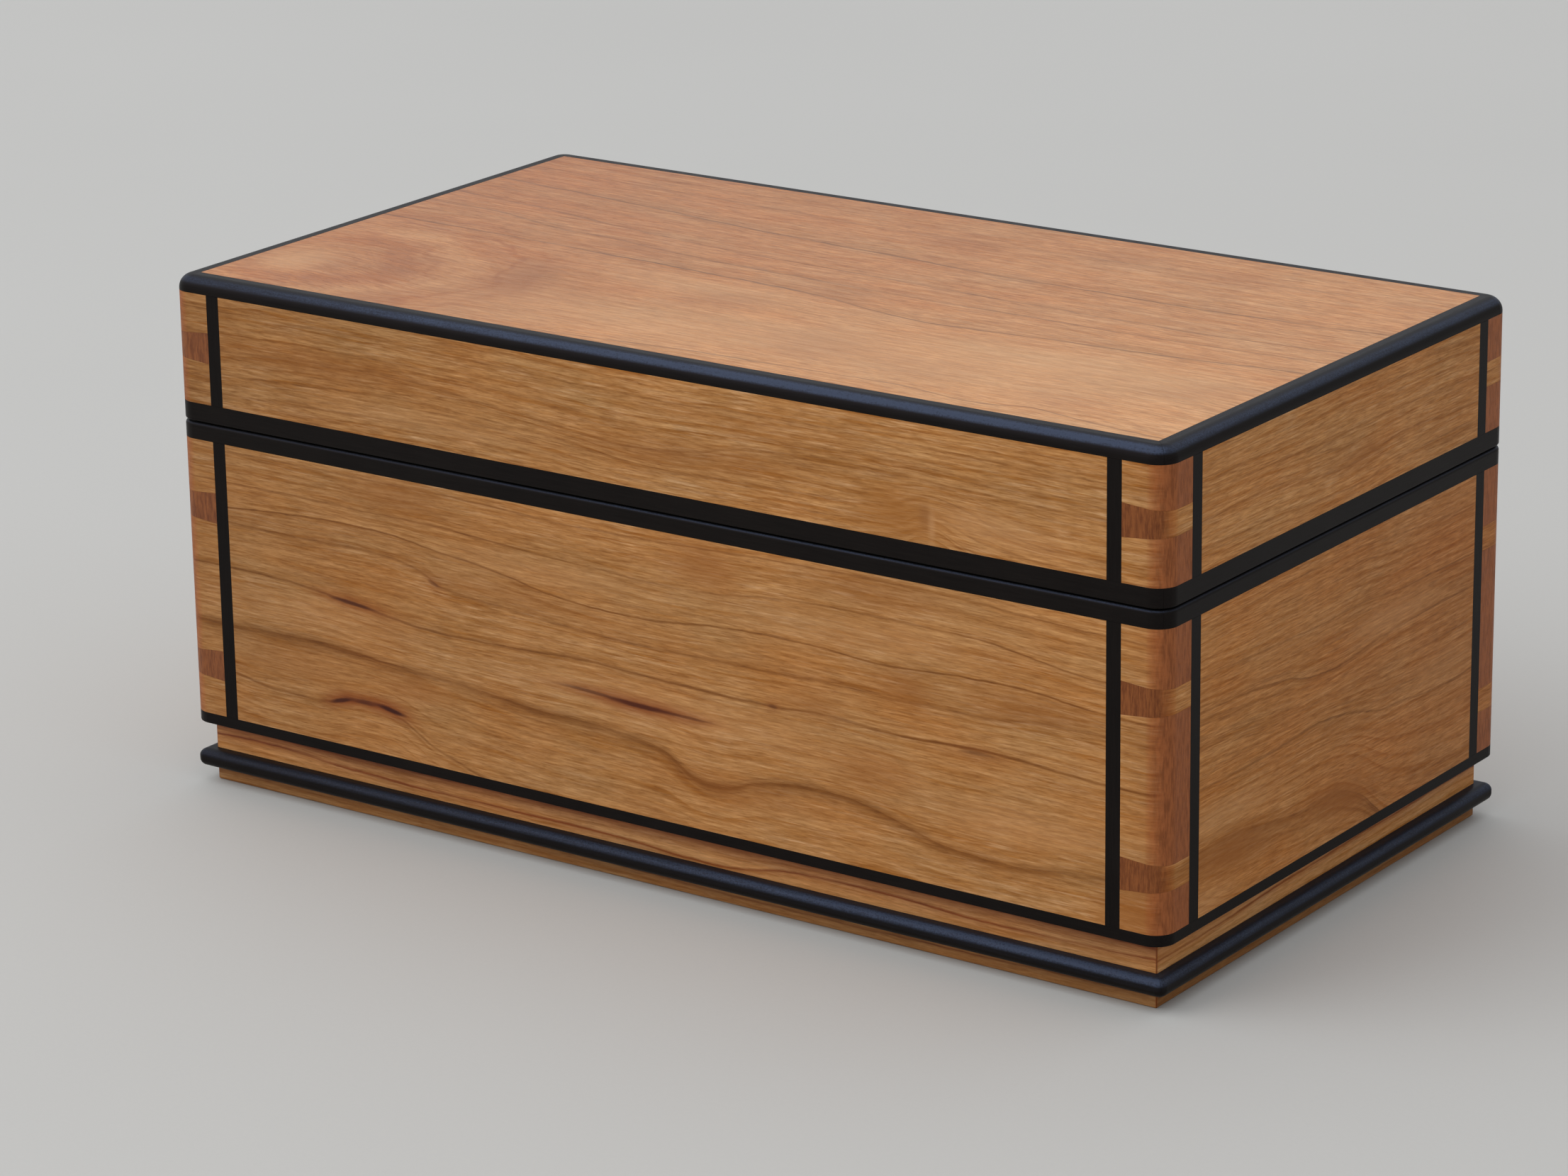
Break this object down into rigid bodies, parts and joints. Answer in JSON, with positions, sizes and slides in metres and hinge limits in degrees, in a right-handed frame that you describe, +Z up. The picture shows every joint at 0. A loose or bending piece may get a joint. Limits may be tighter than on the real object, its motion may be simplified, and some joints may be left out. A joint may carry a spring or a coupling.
{
  "type": "cigar box",
  "caption": "Dovetailed cherry box with ebony edging and string inlay, a hinged lid and a set-back plinth with a rounded bead.",
  "frame": {"origin": "centre of the carcase in plan, on the surface the plinth stands on; the hinge barrels stand 2.6 mm behind the carcase, so the bounding box's centre lies 1.3 mm behind it", "axes": "+Z up, +X along the front face towards the viewer's right, front face towards -Y, hinges at +Y"},
  "size_m": [0.28, 0.1562, 0.1293],
  "materials": {
    "cherry": "satin oil and wax over straight-grained cherry",
    "cherry_top": "satin oil and wax, paler cherry with a soft cathedral figure",
    "ebony": "satin, blue-black",
    "cedar": "bare, matt",
    "brass": "brushed, lightly toned"
  },
  "bodies": {
    "box": {"box_board_front": "cherry", "box_board_back": "cherry", "box_board_left": "cherry", "box_board_right": "cherry", "box_rim_front": "ebony", "box_rim_back": "ebony", "box_rim_left": "ebony", "box_rim_right": "ebony", "box_string_front_left": "ebony", "box_string_front_right": "ebony", "box_string_back_left": "ebony", "box_string_back_right": "ebony", "box_string_left_front": "ebony", "box_string_left_back": "ebony", "box_string_right_front": "ebony", "box_string_right_back": "ebony", "base_string_front": "ebony", "base_string_back": "ebony", "base_string_left": "ebony", "base_string_right": "ebony", "plinth_front": "cherry", "plinth_back": "cherry", "plinth_left": "cherry", "plinth_right": "cherry", "bead_front": "ebony", "bead_back": "ebony", "bead_left": "ebony", "bead_right": "ebony", "bottom_panel": "cedar", "liner_front": "cedar", "liner_back": "cedar", "liner_left": "cedar", "liner_right": "cedar", "hinge_left_box_leaf": "brass", "hinge_left_pin": "brass", "hinge_right_box_leaf": "brass", "hinge_right_pin": "brass"},
    "lid": {"lid_top_panel": "cherry_top", "lid_edging_front": "ebony", "lid_edging_back": "ebony", "lid_edging_left": "ebony", "lid_edging_right": "ebony", "lid_board_front": "cherry", "lid_board_back": "cherry", "lid_board_left": "cherry", "lid_board_right": "cherry", "lid_rim_front": "ebony", "lid_rim_back": "ebony", "lid_rim_left": "ebony", "lid_rim_right": "ebony", "lid_string_front_left": "ebony", "lid_string_front_right": "ebony", "lid_string_back_left": "ebony", "lid_string_back_right": "ebony", "lid_string_left_front": "ebony", "lid_string_left_back": "ebony", "lid_string_right_front": "ebony", "lid_string_right_back": "ebony", "hinge_left_lid_leaf": "brass", "hinge_right_lid_leaf": "brass"}
  },
  "joints": [
    {"name": "lid_hinge", "type": "hinge", "parent": "box", "child": "lid", "pos_m": [0, 0.0774, 0.0932], "axis": [-1, 0, 0], "range_deg": [0, 95]}
  ]
}
